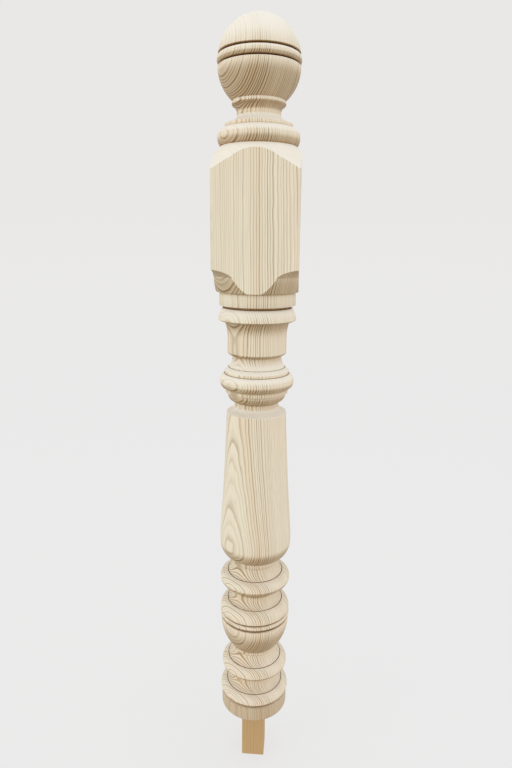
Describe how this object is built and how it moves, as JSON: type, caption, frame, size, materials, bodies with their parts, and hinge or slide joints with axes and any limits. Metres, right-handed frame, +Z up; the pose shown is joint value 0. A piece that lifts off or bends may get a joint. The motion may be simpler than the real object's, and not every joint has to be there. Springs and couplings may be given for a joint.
{
  "type": "newel post",
  "caption": "Turned pine newel post: square block with arched shoulders, ball finial, tapered shaft and turned rings, on a square floor peg.",
  "frame": {"origin": "centre of the post's underside, at floor level, where the floor's mortise takes the peg", "axes": "+Z up along the turning axis; the block's flat faces look along X and Y, and the face that the picture shows looks along -Y"},
  "size_m": [0.12, 0.12, 1.1734],
  "materials": {
    "sanded_pine": "bare, turned and sanded",
    "sawn_pine": "bare, sawn and planed"
  },
  "bodies": {
    "root": {"turned_post": "sanded_pine", "floor_peg": "sawn_pine"}
  },
  "joints": []
}
